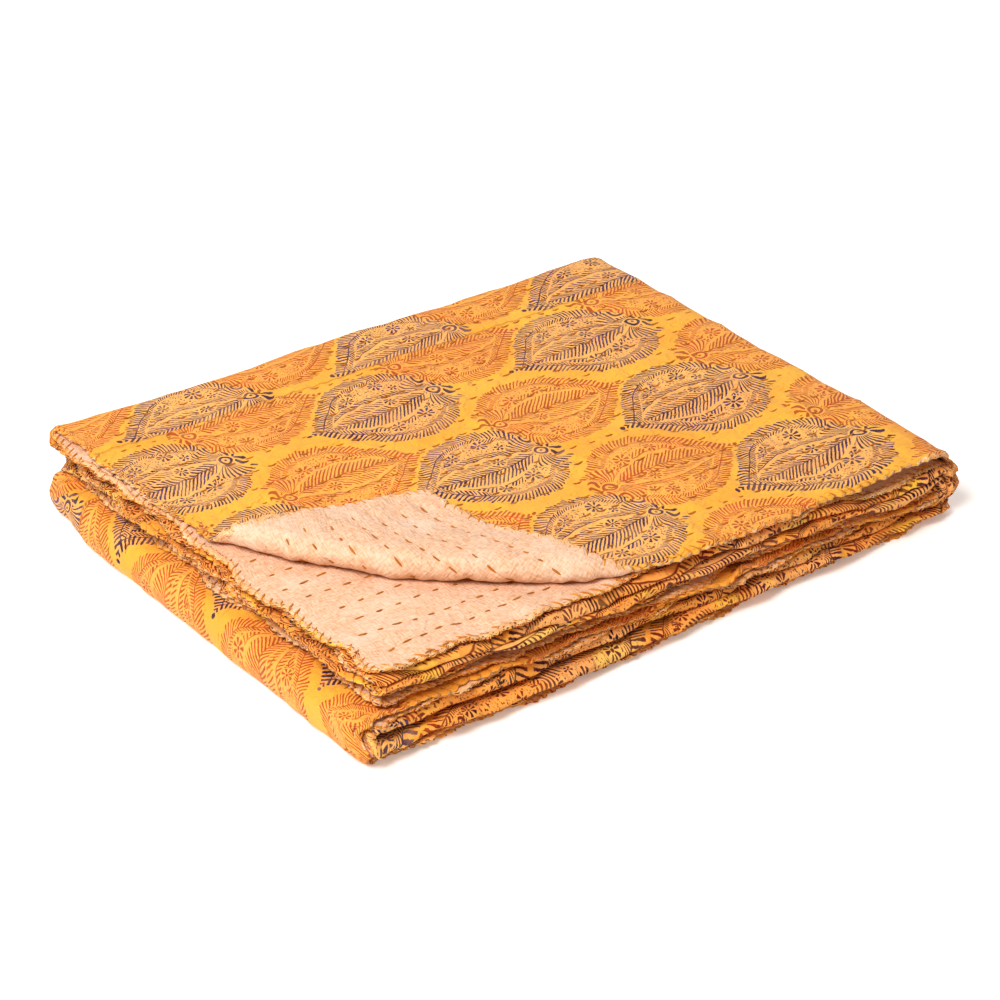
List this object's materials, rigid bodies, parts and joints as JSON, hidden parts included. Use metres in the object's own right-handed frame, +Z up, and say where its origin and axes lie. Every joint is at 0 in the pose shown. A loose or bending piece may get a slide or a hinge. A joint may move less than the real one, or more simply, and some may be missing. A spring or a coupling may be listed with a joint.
{
  "type": "folded kantha quilt",
  "caption": "Stitched cotton quilt folded flat into a low rectangular stack, with one top corner turned back to show its plain backing.",
  "frame": {"origin": "middle of the folded stack's underside", "axes": "+X along the folded length, from the hems' end to the far fold; +Y across it, from the side with the hems to the side with the folds; +Z up"},
  "size_m": [0.486, 0.3828, 0.0754],
  "materials": {
    "printed_cotton": "soft marigold cotton with a small block print, matt",
    "plain_backing": "soft plain peach cotton, matt",
    "thread": "mustard brown cotton thread, matt"
  },
  "bodies": {
    "root": {"quilt": "printed_cotton"}
  },
  "joints": []
}
